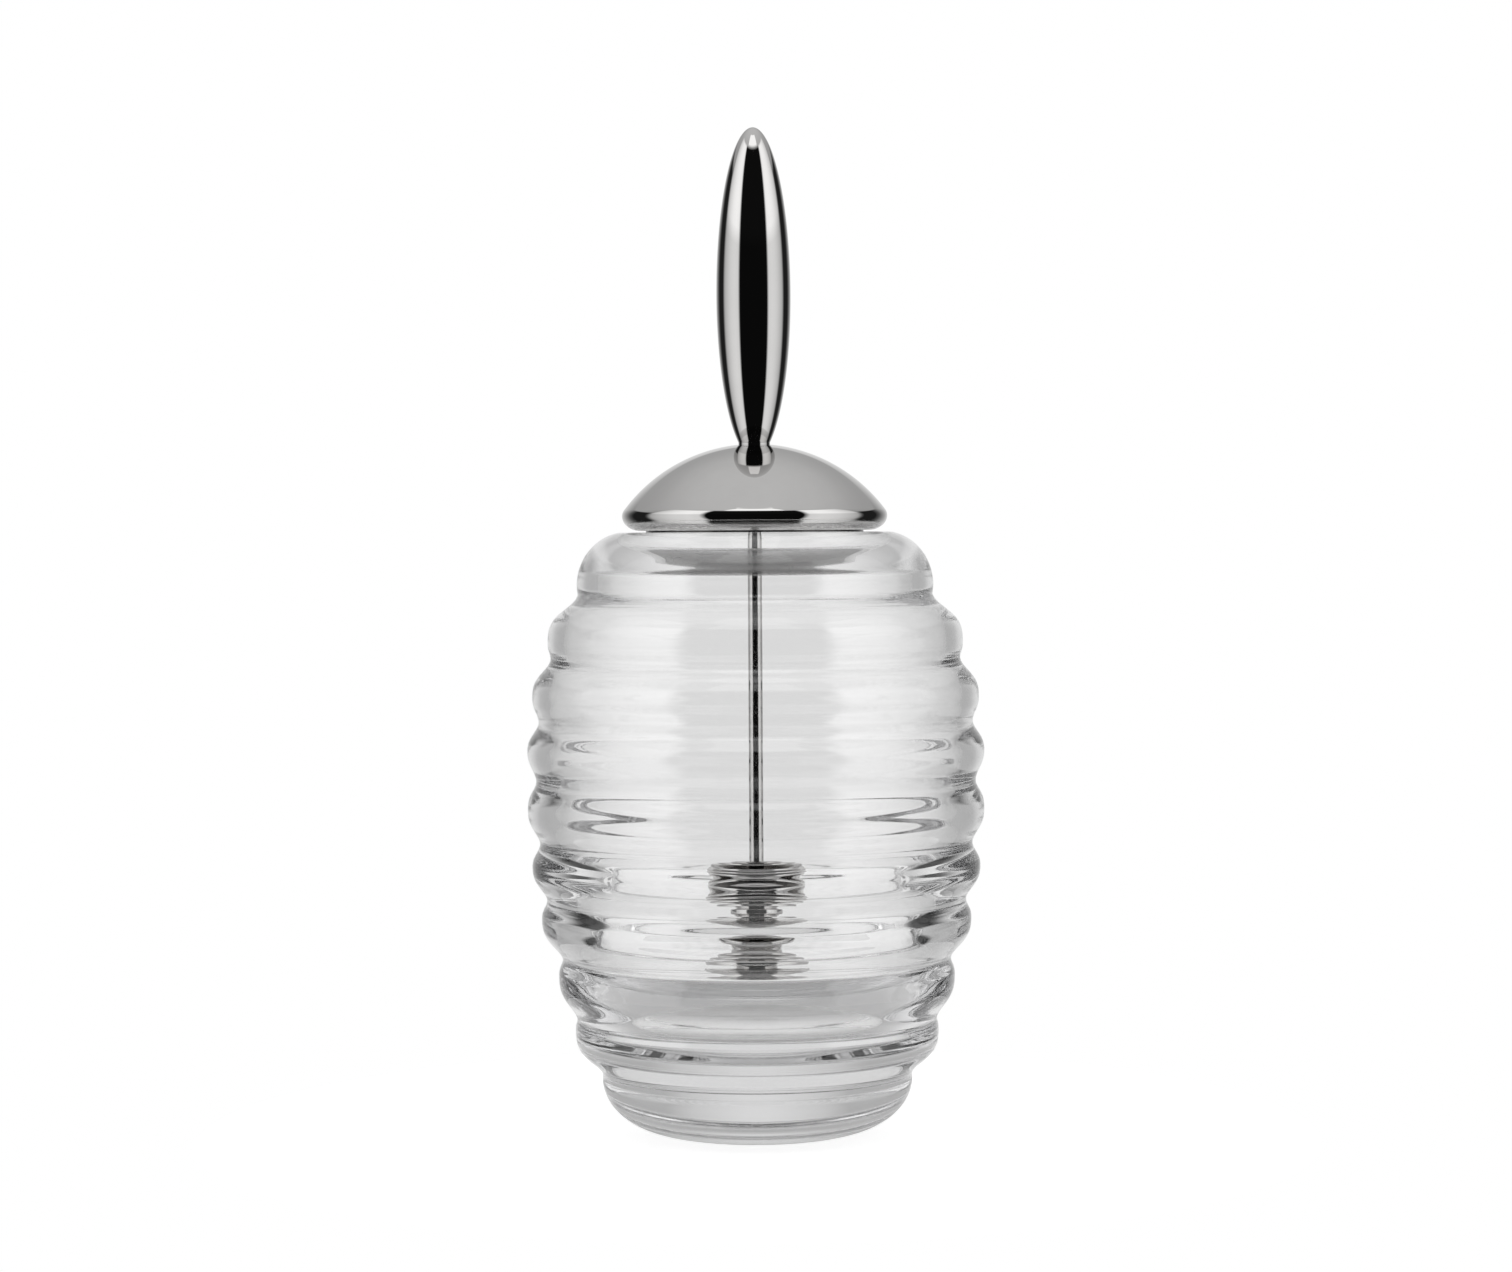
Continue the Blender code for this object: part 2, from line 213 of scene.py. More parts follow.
def lathe_tree():
    """A tree that turns an outline about +Z: its points, in order, become the rows of a closed grid."""
    tree = bpy.data.node_groups.new("turned on a lathe", "GeometryNodeTree")
    sockets = tree.interface
    sockets.new_socket("Outline", in_out="INPUT", socket_type="NodeSocketGeometry")
    sockets.new_socket("Sides", in_out="INPUT", socket_type="NodeSocketInt")
    sockets.new_socket("Sharp Angle", in_out="INPUT", socket_type="NodeSocketFloat")
    sockets.new_socket("Material", in_out="INPUT", socket_type="NodeSocketMaterial")
    sockets.new_socket("Turned", in_out="OUTPUT", socket_type="NodeSocketGeometry")
    outline, sides, sharp, look = add_node(tree, "NodeGroupInput").outputs[:4]

    points = add_node(tree, "GeometryNodeAttributeDomainSize", outline).outputs["Point Count"]
    columns = add_node(tree, "ShaderNodeMath", sides, 1, operation="ADD")
    grid = add_node(tree, "GeometryNodeMeshGrid", 1.0, 1.0, columns, points)
    index = add_node(tree, "GeometryNodeInputIndex")
    row = add_node(tree, "ShaderNodeMath", index, points, operation="FLOORED_MODULO")
    column = add_node(tree, "ShaderNodeMath", index, points, operation="DIVIDE")
    column = add_node(tree, "ShaderNodeMath", column, operation="FLOOR")
    turn = add_node(tree, "ShaderNodeMath", column, sides, operation="DIVIDE")
    angle = add_node(tree, "ShaderNodeMath", turn, 2 * math.pi, operation="MULTIPLY")
    place = add_node(tree, "GeometryNodeInputPosition")
    sample = add_node(tree, "GeometryNodeSampleIndex", data_type="FLOAT_VECTOR", domain="POINT")
    tree.links.new(outline, sample.inputs["Geometry"])
    tree.links.new(place.outputs[0], sample.inputs["Value"])
    tree.links.new(row.outputs[0], sample.inputs["Index"])
    radius, _, height = add_node(tree, "ShaderNodeSeparateXYZ", sample).outputs
    cosine = add_node(tree, "ShaderNodeMath", angle, operation="COSINE")
    sine = add_node(tree, "ShaderNodeMath", angle, operation="SINE")
    across = add_node(tree, "ShaderNodeMath", radius, cosine, operation="MULTIPLY")
    back = add_node(tree, "ShaderNodeMath", radius, sine, operation="MULTIPLY")
    turned_place = add_node(tree, "ShaderNodeCombineXYZ", across, back, height)
    placed = add_node(tree, "GeometryNodeSetPosition", grid, None, turned_place)
    merged = add_node(tree, "GeometryNodeMergeByDistance", placed)
    merged.inputs["Distance"].default_value = merge_distance
    smooth = add_node(tree, "GeometryNodeSetShadeSmooth", merged, None, True, domain="FACE")
    edge_angle = add_node(tree, "GeometryNodeInputMeshEdgeAngle").outputs["Unsigned Angle"]
    is_sharp = add_node(tree, "ShaderNodeMath", edge_angle, sharp, operation="GREATER_THAN")
    edged = add_node(tree, "GeometryNodeSetShadeSmooth", smooth, is_sharp, False, domain="EDGE")
    real = add_node(tree, "GeometryNodeRealizeInstances", edged)
    dressed = add_node(tree, "GeometryNodeSetMaterial", real, None, look)
    add_node(tree, "NodeGroupOutput", dressed)
    return tree


def run_tree(name, outline, tree, values):
    """Run a tree on an outline of (radius, height) points and keep what it makes as a plain closed mesh."""
    mesh = bpy.data.meshes.new(name + "_outline")
    mesh.from_pydata([(radius, 0.0, height) for radius, height in outline], [], [])
    piece = bpy.data.objects.new(name, mesh)
    bpy.context.scene.collection.objects.link(piece)
    modifier = piece.modifiers.new("tree", "NODES")
    modifier.node_group = tree
    for socket in tree.interface.items_tree:
        if socket.in_out == "INPUT" and socket.name in values:
            modifier[socket.identifier] = values[socket.name]
    made = bpy.data.meshes.new_from_object(piece.evaluated_get(bpy.context.evaluated_depsgraph_get()))
    made.name = name
    piece.modifiers.remove(modifier)
    piece.data = made
    bm = bmesh.new()
    bm.from_mesh(made)
    bmesh.ops.recalc_face_normals(bm, faces=bm.faces[:])
    bm.to_mesh(made)
    bm.free()
    return piece


def turned(name, outline, sides, look):
    """A turned piece. An outline that leaves the axis clear is closed into a loop."""
    loop = outline + outline[:1] if outline[0][0] > 0 else outline
    values = {"Sides": sides, "Sharp Angle": sharp_angle, "Material": look}
    return run_tree(name, loop, lathe, values)


def fit(piece, node, body):
    """Let the piece stand for its CAD node, on the node's body."""
    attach(piece, body)
    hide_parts(node)


def fire_polished_glass():
    """Clear soda-lime glass, blown and fire polished: no scratches, only a slow waviness left by the
    mould and the flame, and a faint grey in its depth that shows where the light goes a long way in it."""
    look = bpy.data.materials.new("fire_polished_soda_lime_glass")
    look.use_nodes = True
    tree = look.node_tree
    shader = tree.nodes["Principled BSDF"]
    shader.inputs["Base Color"].default_value = linear("#FFFFFF")
    shader.inputs["Transmission Weight"].default_value = 1.0
    shader.inputs["Roughness"].default_value = 0.0
    shader.inputs["IOR"].default_value = 1.52
    at = add_node(tree, "ShaderNodeTexCoord").outputs["Object"]
    wave_spacing = 0.014
    wave_depth = 0.00002
    waves = add_node(tree, "ShaderNodeTexNoise", at, None, 1 / wave_spacing, 1.0, 0.4)
    bump = add_node(tree, "ShaderNodeBump", 1.0, wave_depth, None, waves)
    tree.links.new(bump.outputs[0], shader.inputs["Normal"])
    grey_density = 5.5
    grey = add_node(tree, "ShaderNodeVolumeAbsorption", linear("#B6B6B8"), grey_density)
    tree.links.new(grey.outputs[0], tree.nodes["Material Output"].inputs["Volume"])
    return look


lathe = lathe_tree()
outside = jar_outside()
punt = [(punt_radius, 0.0), (0.0, punt_depth)]
jar = turned("blown_glass_jar", jar_inside(outside) + outside + punt, jar_sides, fire_polished_glass())
fit(jar, "glass_jar", "jar")


# Lid dome
# A cap drawn from 0.9 mm stainless sheet, its rim rolled under so that a smooth lip sits on the glass.
# It is buffed to a mirror, and the handle's neck stands on its top.
lid_low, lid_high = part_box("lid_dome")
lid_radius = lid_high.x
lid_sheet = 0.0009
dome_sphere_radius = 0.0320
rim_bend_radius = 0.0020
rim_drop = 0.0029
lip_flat = 0.0008
lip_gap = 0.0003
mouth_gap = 0.0004
cup_radius = mouth_radius - mouth_gap
bore_radius = 0.0017
lid_sides = 192
rim_height = lid_low.z + rim_drop
sphere_reach = dome_sphere_radius - rim_bend_radius
rim_slope = math.acos((lid_radius - rim_bend_radius) / sphere_reach)


def dome_face(inset):
    """The dome's face, a sheet's depth inside the outer one, from the lip's end up to the middle."""
    bend = rim_bend_radius - inset
    sphere = dome_sphere_radius - inset
    sphere_centre = (0.0, rim_height - sphere_reach * math.sin(rim_slope))
    tuck = (cup_radius + lip_gap + lip_flat, rim_height)
    points = [(cup_radius + lip_gap, lid_low.z + inset)]
    points += arc(tuck, lid_radius - tuck[0] - inset, rim_drop - inset, -quarter, 0.0, curve_steps)
    points += arc((lid_radius - rim_bend_radius, rim_height), bend, bend, 0.0, rim_slope, curve_steps)[1:]
    top = math.acos(bore_radius / sphere)
    return points + arc(sphere_centre, sphere, sphere, rim_slope, top, 2 * curve_steps)[1:]


def buffed_steel(name, colour, roughness, mark_spacing, mark_depth):
    """Stainless steel turned or spun and then buffed to a mirror: a bright, slightly warm grey, with the
    faint rings of the lathe, and patches a little hazier than the rest where the buff ran lighter. The
    real rings are finer than a pixel, so they are drawn as coarse as they need to show."""
    look = bpy.data.materials.new(name)
    look.use_nodes = True
    tree = look.node_tree
    shader = tree.nodes["Principled BSDF"]
    shader.inputs["Metallic"].default_value = 1.0
    at = add_node(tree, "ShaderNodeTexCoord").outputs["Object"]
    haze_spacing = 0.006
    haze_start, haze_end = 0.35, 0.7
    clearest, haziest = 0.6 * roughness, 1.5 * roughness
    hazy_shade = 0.92
    haze = add_node(tree, "ShaderNodeTexNoise", at, None, 1 / haze_spacing, 3.0, 0.6).outputs[0]
    worn = add_node(tree, "ShaderNodeMapRange", haze, haze_start, haze_end, clearest, haziest).outputs[0]
    tree.links.new(worn, shader.inputs["Roughness"])
    tint = add_node(tree, "ShaderNodeMix", data_type="RGBA")
    tree.links.new(haze, tint.inputs["Factor"])
    tint.inputs["A"].default_value = linear(colour)
    tint.inputs["B"].default_value = (*(hazy_shade * c for c in linear(colour)[:3]), 1.0)
    tree.links.new(tint.outputs["Result"], shader.inputs["Base Color"])
    x, y, z = add_node(tree, "ShaderNodeSeparateXYZ", at).outputs
    flat_place = add_node(tree, "ShaderNodeCombineXYZ", x, y)
    radius = add_node(tree, "ShaderNodeVectorMath", flat_place, operation="LENGTH").outputs["Value"]
    ring_place = add_node(tree, "ShaderNodeCombineXYZ", radius, 0.0, z)
    rings = add_node(tree, "ShaderNodeTexNoise", ring_place, None, 1 / mark_spacing, 2.0, 0.5)
    bump = add_node(tree, "ShaderNodeBump", 1.0, mark_depth, None, rings)
    tree.links.new(bump.outputs[0], shader.inputs["Normal"])
    return look


mirror = buffed_steel("mirror_buffed_stainless_steel", "#C9C8C7", roughness=0.03,
                      mark_spacing=0.0008, mark_depth=0.0000004)
dome = turned("drawn_steel_dome", dome_face(0.0) + dome_face(lid_sheet)[::-1], lid_sides, mirror)
fit(dome, "lid_dome", "lid")


# Lid cup
# A shallow cup pressed from 0.6 mm stainless sheet. Its flange lies on the dome's rolled lip, and its wall
# centres the lid in the mouth. Its underside, duller than the dome, faces the honey; its steel colour is
# far darker than the dome's as painted shade, for the shade it shows under the glass shoulder.
cup_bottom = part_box("lid_cup")[0].z
cup_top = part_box("lid_cup")[1].z
cup_sheet = 0.0006
cup_flange = 0.0013
press_rounding = 0.0005
wall_inside = cup_radius - cup_sheet
flange_edge = cup_radius + lip_gap + cup_flange
bottom_inside = cup_bottom + cup_sheet
flange_under = cup_top - cup_sheet
press_centre = (cup_radius - press_rounding, cup_bottom + press_rounding)
cup_outline = [(bore_radius, cup_bottom)]
cup_outline += arc(press_centre, press_rounding, press_rounding, -quarter, 0.0, curve_steps // 2)
cup_outline += [(cup_radius, flange_under), (flange_edge, flange_under), (flange_edge, cup_top)]
cup_outline += [(wall_inside, cup_top), (wall_inside, bottom_inside), (bore_radius, bottom_inside)]
# Painted shade: this steel colour is set far darker than the lid's to stand in for shade on the cup.
pressed = buffed_steel("pressed_stainless_steel_painted_shade", "#4E4D4C", roughness=0.2,
                       mark_spacing=0.0004, mark_depth=0.0000010)
cup = turned("pressed_steel_cup", cup_outline, lid_sides, pressed)
fit(cup, "lid_cup", "lid")


# Washer and nut
# Plain stainless hardware on the rod's thread, up inside the dome, which pulls the handle down on it.
# They are stamped and machined, left unpolished, and not seen once the lid is closed.
plain = buffed_steel("machined_stainless_steel", "#BFBEBB", roughness=0.22,
                     mark_spacing=0.0003, mark_depth=0.0000030)
for name in ("lid_washer", "lid_nut"):
    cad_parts[name].data.materials.clear()
    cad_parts[name].data.materials.append(plain)


# Handle
# A slender spindle turned from stainless bar: two half ellipses end to end, cut off at a thin neck that
# stands on the dome. It is polished to a mirror, and bored and threaded from below for the rod.
handle_low, handle_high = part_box("handle")
handle_radius = handle_high.x
handle_lower_length = 0.0289
handle_neck_radius = 0.0031
neck_sink = 0.0002
thread_depth = 0.0120
handle_sides = 128
handle_steps = 60
widest = (0.0, handle_low.z + handle_lower_length)
neck_angle = math.acos(handle_neck_radius / handle_radius)
neck_seat = lid_high.z - neck_sink
handle_outline = [(0.0, handle_low.z + thread_depth), (bore_radius, handle_low.z + thread_depth)]
handle_outline += [(bore_radius, neck_seat), (handle_neck_radius, neck_seat)]
handle_outline += arc(widest, handle_radius, handle_lower_length / math.sin(neck_angle), -neck_angle, 0.0,
                      handle_steps)
handle_outline += arc(widest, handle_radius, handle_high.z - widest[1], 0.0, quarter, handle_steps)[1:-1]
handle_outline.append((0.0, handle_high.z))
handle = turned("turned_steel_spindle", handle_outline, handle_sides, mirror)
fit(handle, "handle", "lid")


# Dipper rod
# A straight length of ground stainless wire, 2.8 mm thick, threaded at the top for nut and handle and
# pressed into the head's bore at the bottom.
rod_low, rod_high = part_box("dipper_rod")
rod_radius = 0.0014
rod_edge = 0.0002
rod_sides = 48
rod_outline = [(0.0, rod_low.z), (rod_radius - rod_edge, rod_low.z), (rod_radius, rod_low.z + rod_edge),
               (rod_radius, rod_high.z - rod_edge), (rod_radius - rod_edge, rod_high.z), (0.0, rod_high.z)]
wire = buffed_steel("ground_stainless_wire", "#CCCBCA", roughness=0.05,
                    mark_spacing=0.0006, mark_depth=0.0000005)
rod = turned("ground_steel_rod", rod_outline, rod_sides, wire)
fit(rod, "dipper_rod", "lid")


# Dipper head
# Turned from one stainless bar on the lathe: nine rounded discs cut to a barrel, with round-bottomed
# grooves between them that hold the honey, and a plain hub above and below. It is polished like the lid,
# but its steel colour is lighter than the lid's as painted light, to brighten its reflections seen through
# the glass.
head_low, head_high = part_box("dipper_head")
head_sides = 128
head_bore_depth = 0.0110
head_core_radius = 0.0040
hub_under_discs = 0.0008
head_sizes = {
    "Discs": 9,
    "Steps": 32,
    "First Disc": head_low.z + hub_under_discs,
    "Disc Thickness": 0.0012,
    "Groove Width": 0.00097,
    "Head Radius": head_high.x,
    "Barrel Reach": 0.0100,
    "Core Radius": head_core_radius,
    "Edge Rounding": 0.0004,
}


def dipper_tree():
    """A tree that cuts the discs and grooves into the outline of a plain hub, then turns it.

    The hub's first two points are its bottom, and the discs follow them. Each disc takes a full set of
    steps, the first half over its rounded edge and the second down into the groove above it.
    """
    tree = bpy.data.node_groups.new("dipper head", "GeometryNodeTree")
    sockets = tree.interface
    kinds = {"Discs": "NodeSocketInt", "Steps": "NodeSocketInt"}
    sockets.new_socket("Hub", in_out="INPUT", socket_type="NodeSocketGeometry")
    for name in head_sizes:
        sockets.new_socket(name, in_out="INPUT", socket_type=kinds.get(name, "NodeSocketFloat"))
    sockets.new_socket("Sides", in_out="INPUT", socket_type="NodeSocketInt")
    sockets.new_socket("Sharp Angle", in_out="INPUT", socket_type="NodeSocketFloat")
    sockets.new_socket("Material", in_out="INPUT", socket_type="NodeSocketMaterial")
    sockets.new_socket("Head", in_out="OUTPUT", socket_type="NodeSocketGeometry")
    given = add_node(tree, "NodeGroupInput").outputs

    def edge_radius(disc):
        """Radius of a disc's rim, less its rounding: the barrel's at the disc's own height."""
        last = add_node(tree, "ShaderNodeMath", given["Discs"], 1, operation="SUBTRACT")
        middle = add_node(tree, "ShaderNodeMath", last, 2, operation="DIVIDE")
        along = add_node(tree, "ShaderNodeMath", disc, middle, operation="SUBTRACT")
        along = add_node(tree, "ShaderNodeMath", along, pitch, operation="MULTIPLY")
        reach = add_node(tree, "ShaderNodeMath", along, given["Barrel Reach"], operation="DIVIDE")
        reach = add_node(tree, "ShaderNodeMath", reach, operation="ABSOLUTE")
        reach = add_node(tree, "ShaderNodeMath", reach, 2, operation="POWER")
        share = add_node(tree, "ShaderNodeMath", 1, reach, operation="SUBTRACT")
        share = add_node(tree, "ShaderNodeMath", share, operation="SQRT")
        barrel = add_node(tree, "ShaderNodeMath", share, given["Head Radius"], operation="MULTIPLY")
        return add_node(tree, "ShaderNodeMath", barrel, given["Edge Rounding"], operation="SUBTRACT")

    fullness = 0.5
    pitch = add_node(tree, "ShaderNodeMath", given["Disc Thickness"], given["Groove Width"], operation="ADD")
    index = add_node(tree, "GeometryNodeInputIndex")
    disc = add_node(tree, "ShaderNodeMath", index, given["Steps"], operation="DIVIDE")
    disc = add_node(tree, "ShaderNodeMath", disc, operation="FLOOR")
    half = add_node(tree, "ShaderNodeMath", given["Steps"], 2, operation="DIVIDE")
    step = add_node(tree, "ShaderNodeMath", index, given["Steps"], operation="FLOORED_MODULO")
    low = add_node(tree, "ShaderNodeMath", disc, pitch, operation="MULTIPLY")
    low = add_node(tree, "ShaderNodeMath", given["First Disc"], low, operation="ADD")
    edge = edge_radius(disc)

    # Over the rim
    last_rim_step = add_node(tree, "ShaderNodeMath", half, 1, operation="SUBTRACT")
    rim_share = add_node(tree, "ShaderNodeMath", step, last_rim_step, operation="DIVIDE")
    rim_angle = add_node(tree, "ShaderNodeMath", rim_share, math.pi, operation="MULTIPLY")
    swell = add_node(tree, "ShaderNodeMath", rim_angle, operation="SINE")
    swell = add_node(tree, "ShaderNodeMath", swell, 0, operation="MAXIMUM")
    swell = add_node(tree, "ShaderNodeMath", swell, fullness, operation="POWER")
    swell = add_node(tree, "ShaderNodeMath", swell, given["Edge Rounding"], operation="MULTIPLY")
    rim_radius = add_node(tree, "ShaderNodeMath", edge, swell, operation="ADD")
    rise = add_node(tree, "ShaderNodeMath", rim_angle, operation="COSINE")
    rise = add_node(tree, "ShaderNodeMath", 1, rise, operation="SUBTRACT")
    rise = add_node(tree, "ShaderNodeMath", rise, 0.5, operation="MULTIPLY")
    rise = add_node(tree, "ShaderNodeMath", rise, given["Disc Thickness"], operation="MULTIPLY")
    rim_place = add_node(tree, "ShaderNodeMath", low, rise, operation="ADD")

    # Down into the groove and up again
    groove_step = add_node(tree, "ShaderNodeMath", step, half, operation="SUBTRACT")
    groove_step = add_node(tree, "ShaderNodeMath", groove_step, 1, operation="ADD")
    last_groove_step = add_node(tree, "ShaderNodeMath", half, 1, operation="ADD")
    groove_share = add_node(tree, "ShaderNodeMath", groove_step, last_groove_step, operation="DIVIDE")
    next_disc = add_node(tree, "ShaderNodeMath", disc, 1, operation="ADD")
    brim = add_node(tree, "ShaderNodeMath", edge_radius(next_disc), edge, operation="SUBTRACT")
    brim = add_node(tree, "ShaderNodeMath", groove_share, brim, operation="MULTIPLY")
    brim = add_node(tree, "ShaderNodeMath", edge, brim, operation="ADD")
    bite = add_node(tree, "ShaderNodeMath", groove_share, math.pi, operation="MULTIPLY")
    bite = add_node(tree, "ShaderNodeMath", bite, operation="SINE")
    bite = add_node(tree, "ShaderNodeMath", bite, 0, operation="MAXIMUM")
    bite = add_node(tree, "ShaderNodeMath", bite, fullness, operation="POWER")
    depth = add_node(tree, "ShaderNodeMath", brim, given["Core Radius"], operation="SUBTRACT")
    depth = add_node(tree, "ShaderNodeMath", depth, bite, operation="MULTIPLY")
    groove_radius = add_node(tree, "ShaderNodeMath", brim, depth, operation="SUBTRACT")
    groove_low = add_node(tree, "ShaderNodeMath", low, given["Disc Thickness"], operation="ADD")
    climb = add_node(tree, "ShaderNodeMath", groove_share, given["Groove Width"], operation="MULTIPLY")
    groove_place = add_node(tree, "ShaderNodeMath", groove_low, climb, operation="ADD")

    in_groove = add_node(tree, "ShaderNodeMath", step, 0.5, operation="ADD")
    in_groove = add_node(tree, "ShaderNodeMath", in_groove, half, operation="GREATER_THAN")
    radius = add_node(tree, "GeometryNodeSwitch", in_groove, rim_radius, groove_radius, input_type="FLOAT")
    height = add_node(tree, "GeometryNodeSwitch", in_groove, rim_place, groove_place, input_type="FLOAT")
    place = add_node(tree, "ShaderNodeCombineXYZ", radius, 0.0, height)
    count = add_node(tree, "ShaderNodeMath", given["Discs"], given["Steps"], operation="MULTIPLY")
    count = add_node(tree, "ShaderNodeMath", count, half, operation="SUBTRACT")
    line = add_node(tree, "GeometryNodeMeshLine", count)
    discs = add_node(tree, "GeometryNodeSetPosition", line, None, place)
    is_bottom = add_node(tree, "ShaderNodeMath", index, 2, operation="LESS_THAN")
    hub = add_node(tree, "GeometryNodeSeparateGeometry", given["Hub"], is_bottom, domain="POINT")
    joined = add_node(tree, "GeometryNodeJoinGeometry")
    for part in (hub.outputs["Inverted"], discs.outputs[0], hub.outputs["Selection"]):
        tree.links.new(part, joined.inputs[0])
    turn = add_node(tree, "GeometryNodeGroup", node_tree=lathe)
    for name in ("Sides", "Sharp Angle", "Material"):
        tree.links.new(given[name], turn.inputs[name])
    tree.links.new(joined.outputs[0], turn.inputs["Outline"])
    add_node(tree, "NodeGroupOutput", turn)
    return tree


hub_outline = [(0.0, head_low.z), (head_core_radius, head_low.z), (head_core_radius, head_high.z),
               (bore_radius, head_high.z), (bore_radius, head_high.z - head_bore_depth),
               (0.0, head_high.z - head_bore_depth)]
# Painted light: this steel colour is lighter than the lid's, to brighten the head's reflections.
turned_steel = buffed_steel("turned_stainless_bar_painted_light", "#D6D5D4", roughness=0.03,
                            mark_spacing=0.0003, mark_depth=0.0000004)
head_values = {**head_sizes, "Sides": head_sides, "Sharp Angle": sharp_angle, "Material": turned_steel}
head = run_tree("turned_dipper_head", hub_outline, dipper_tree(), head_values)
fit(head, "dipper_head", "lid")


# Floor
# A round of matt white board that the pot stands on. Seen by the camera it glows evenly, so that it stays
# white and keeps only the soft shadow round the foot. In the glass and the steel its glow is painted light,
# weaker before the pot than behind it as painted shade under and before the pot.
floor_radius = 0.11
floor_drop = 0.0002
floor_sides = 96
board_grey = 0.4
painted_shade_glow_before_pot = 0.29
glow_behind_pot = 0.60
glow_full_at = 0.04
glow_seen = 0.85
board = bpy.data.meshes.new("floor_board")
bm = bmesh.new()
bmesh.ops.create_circle(bm, cap_ends=True, segments=floor_sides, radius=floor_radius)
bmesh.ops.translate(bm, verts=bm.verts[:], vec=(0, 0, -floor_drop))
bm.to_mesh(board)
bm.free()
floor_look = bpy.data.materials.new("matt_white_board_painted_glow")
floor_look.use_nodes = True
tree = floor_look.node_tree
tree.nodes.clear()
matt = add_node(tree, "ShaderNodeBsdfDiffuse", (board_grey, board_grey, board_grey, 1.0))
to_camera = add_node(tree, "ShaderNodeLightPath").outputs["Is Camera Ray"]
at = add_node(tree, "ShaderNodeTexCoord").outputs["Object"]
behind = add_node(tree, "ShaderNodeSeparateXYZ", at).outputs[1]
# Painted shade: off the camera, the board glows less before and under the pot than behind it.
glow_with_painted_shade = add_node(tree, "ShaderNodeMapRange", behind, 0.0, glow_full_at, painted_shade_glow_before_pot, glow_behind_pot)
strength = add_node(tree, "ShaderNodeMix", to_camera, None, glow_with_painted_shade, glow_seen)
glow = add_node(tree, "ShaderNodeEmission", None, strength)
both = add_node(tree, "ShaderNodeAddShader", matt, glow)
add_node(tree, "ShaderNodeOutputMaterial", both)
board.materials.append(floor_look)
floor = bpy.data.objects.new("floor_board", board)
bpy.context.scene.collection.objects.link(floor)


# Studio
# A white backdrop behind, a tall soft panel down each side, a dark gap between panel and backdrop, a soft
# ceiling with a bright box at the front of it, and a dark room in front. All of it is drawn in the world as
# directions round the pot: angles are in degrees, round from the front or up from the horizon.
half_turn = 180.0
overhead = 90.0
light_round_pot = (
    (43.0, 0.005), (49.0, 1.08), (60.0, 1.15), (72.0, 1.10), (80.0, 1.02), (88.0, 0.90), (96.0, 0.76),
    (101.0, 0.62), (107.0, 0.12), (110.0, 0.02), (130.0, 0.02), (138.0, 0.12), (146.0, 0.32), (154.0, 0.50),
    (163.0, 0.68), (171.0, 0.77), (177.0, 0.83),
)
light_up_ceiling = ((20.0, 0.47), (30.0, 0.52), (40.0, 0.60), (50.0, 0.70), (60.0, 0.76), (75.0, 0.80))
panel_top = 47.5
backdrop_top = 22.0
panel_back_edge = 104.0
panel_bright_edge = 13.0
panel_bright_light = 1.35
front_box_light = 1.6
front_box_bottom = 50.0
front_box_top = 72.0
front_box_edge = 34.0
gap_middle = -8.0
gap_reach = 46.0
gap_reach_through_glass = 22.0
light_round_gap = 0.60
gap_front_edge = 75.0
light_through_glass = 0.8
gap_through_glass = 0.50
gap_glow_bottom = -13.0
under_one_bounce = 0.5
softness = 3.0
brightest = 1.6
glass_bounces = 32
all_bounces = 48
world = bpy.data.worlds.new("soft_studio")
bpy.context.scene.world = world
world.use_nodes = True
tree = world.node_tree
tree.nodes.clear()


def past(angle, edge):
    """A soft step from 0 to 1 as an angle passes an edge."""
    beyond = add_node(tree, "ShaderNodeMath", angle, edge, operation="SUBTRACT")
    return add_node(tree, "ShaderNodeMapRange", beyond, -softness / 2, softness / 2)


def short_of(angle, edge):
    """A soft step from 1 to 0 as an angle passes an edge."""
    return add_node(tree, "ShaderNodeMath", 1.0, past(angle, edge), operation="SUBTRACT")


def light_at(angle, full, stops):
    """Light read off stops of (angle, light), on a scale that ends at the full angle."""
    share = add_node(tree, "ShaderNodeMath", angle, full, operation="DIVIDE")
    ramp = add_node(tree, "ShaderNodeValToRGB", share)
    for spare in stops[2:]:
        ramp.color_ramp.elements.new(1.0)
    for element, (at, light) in zip(ramp.color_ramp.elements, stops):
        element.position = at / full
        element.color = (light / brightest, light / brightest, light / brightest, 1.0)
    return add_node(tree, "ShaderNodeMath", ramp, brightest, operation="MULTIPLY")


direction = add_node(tree, "ShaderNodeTexCoord").outputs["Generated"]
x, y, z = add_node(tree, "ShaderNodeSeparateXYZ", direction).outputs
to_degrees = half_turn / math.pi
to_front = add_node(tree, "ShaderNodeMath", y, -1.0, operation="MULTIPLY")
round_pot = add_node(tree, "ShaderNodeMath", x, to_front, operation="ARCTAN2")
round_pot = add_node(tree, "ShaderNodeMath", round_pot, operation="ABSOLUTE")
round_pot = add_node(tree, "ShaderNodeMath", round_pot, to_degrees, operation="MULTIPLY")
up = add_node(tree, "ShaderNodeMath", z, operation="ARCSINE")
up = add_node(tree, "ShaderNodeMath", up, to_degrees, operation="MULTIPLY")
path = add_node(tree, "ShaderNodeLightPath").outputs
through_glass = path["Is Transmission Ray"]

# The panels are brighter higher up
on_panel = short_of(round_pot, panel_back_edge)
on_panel = add_node(tree, "ShaderNodeMath", past(up, panel_bright_edge), on_panel, operation="MULTIPLY")
brighter = add_node(tree, "ShaderNodeMix", on_panel, None, 1.0, panel_bright_light)
sides = light_at(round_pot, half_turn, light_round_pot)
sides = add_node(tree, "ShaderNodeMath", sides, brighter, operation="MULTIPLY")

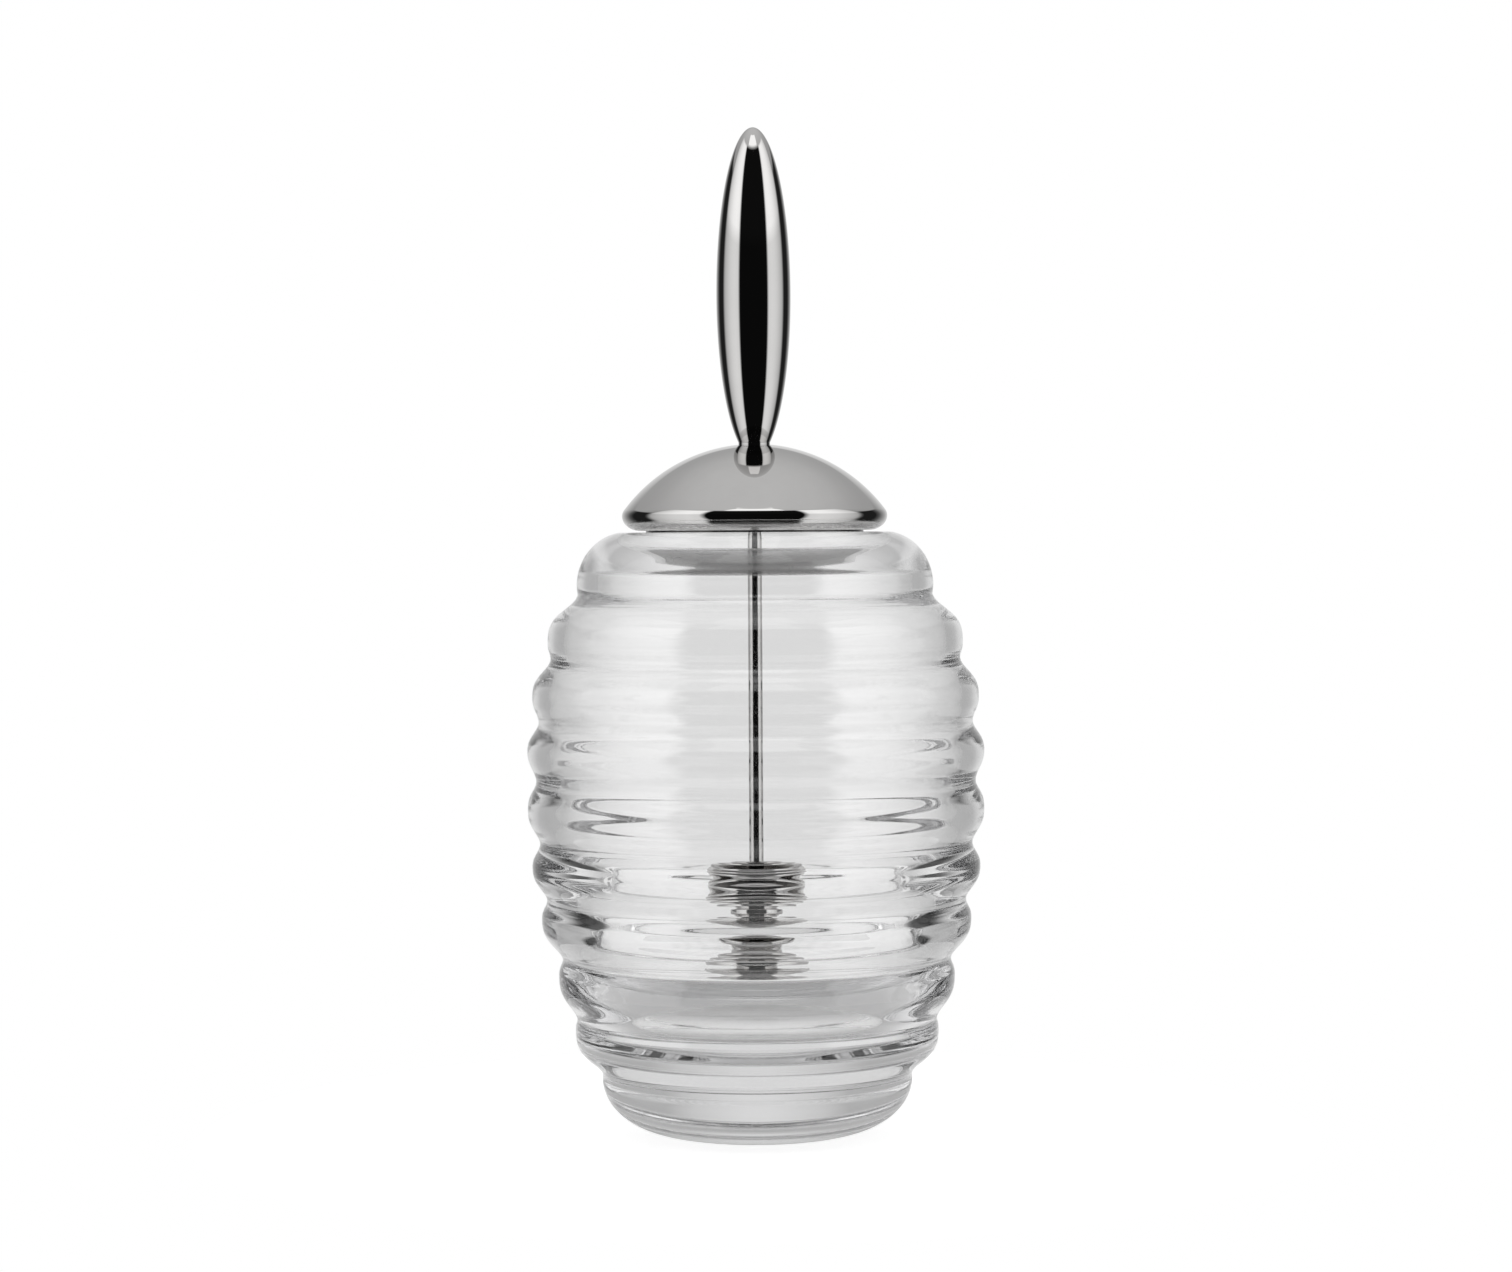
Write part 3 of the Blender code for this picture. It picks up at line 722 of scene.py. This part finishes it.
# The gap is dark, with a grey room over and under it. Seen through the glass it is shorter and glows above
in_gap = add_node(tree, "ShaderNodeMath", through_glass, gap_through_glass, operation="MULTIPLY")
in_gap = add_node(tree, "ShaderNodeMath", in_gap, past(up, gap_glow_bottom), operation="MULTIPLY")
from_gap = add_node(tree, "ShaderNodeMath", up, gap_middle, operation="SUBTRACT")
from_gap = add_node(tree, "ShaderNodeMath", from_gap, operation="ABSOLUTE")
reach = add_node(tree, "ShaderNodeMix", through_glass, None, gap_reach, gap_reach_through_glass)
fill = add_node(tree, "ShaderNodeMix", past(from_gap, reach), None, in_gap, light_round_gap)
fill = add_node(tree, "ShaderNodeMath", past(round_pot, gap_front_edge), fill, operation="MULTIPLY")
sides = add_node(tree, "ShaderNodeMath", sides, fill, operation="MAXIMUM")

# The ceiling starts over the panels and the backdrop, and holds the bright box
in_box = past(up, front_box_bottom)
in_box = add_node(tree, "ShaderNodeMath", in_box, short_of(up, front_box_top), operation="MULTIPLY")
in_box = add_node(tree, "ShaderNodeMath", in_box, short_of(round_pot, front_box_edge), operation="MULTIPLY")
ceiling = light_at(up, overhead, light_up_ceiling)
ceiling = add_node(tree, "ShaderNodeMix", in_box, None, ceiling, front_box_light)
side_top = add_node(tree, "ShaderNodeMix", past(round_pot, panel_back_edge), None, panel_top, backdrop_top)
room = add_node(tree, "ShaderNodeMix", past(up, side_top), None, sides, ceiling)

# Seen straight through the glass, the front is white ground too, so that the pot is clear from behind
forward = add_node(tree, "ShaderNodeMath", path["Glossy Depth"], under_one_bounce, operation="LESS_THAN")
forward = add_node(tree, "ShaderNodeMath", through_glass, forward, operation="MULTIPLY")
forward = add_node(tree, "ShaderNodeMath", forward, short_of(round_pot, gap_front_edge), operation="MULTIPLY")
forward = add_node(tree, "ShaderNodeMath", forward, light_through_glass, operation="MULTIPLY")
room = add_node(tree, "ShaderNodeMath", room, forward, operation="MAXIMUM")
seen = add_node(tree, "ShaderNodeMix", path["Is Camera Ray"], None, room, 1.0)
background = add_node(tree, "ShaderNodeBackground", seen)
add_node(tree, "ShaderNodeOutputWorld", background)
bpy.context.scene.cycles.transmission_bounces = glass_bounces
bpy.context.scene.cycles.glossy_bounces = glass_bounces
bpy.context.scene.cycles.max_bounces = all_bounces


# Camera
# It stands level with the top of the glass, 0.69 m from the jar's axis, tipped down a little, and rolled
# because the pot leans in the photograph. One pixel of its 1512 by 1272 covers 0.197 mm at the axis.
camera_distance = 0.69
pixel_size = 0.000197
photo_width = 1512
photo_height = 1272
horizon_pixel = 532
camera_right = 0.00026
roll = math.radians(0.3)
sensor_width = 36
pixels_per_radian = camera_distance / pixel_size
lens = bpy.data.cameras.new("camera")
lens.sensor_width = sensor_width
lens.lens = sensor_width * pixels_per_radian / photo_width
camera = bpy.data.objects.new("camera", lens)
bpy.context.scene.collection.objects.link(camera)
pitch = math.atan((photo_height / 2 - horizon_pixel) / pixels_per_radian)
camera.location = (camera_right, -camera_distance, jar_height)
camera.rotation_euler = (quarter - pitch, roll, 0.0)
bpy.context.scene.camera = camera
bpy.context.scene.view_settings.view_transform = "Standard"
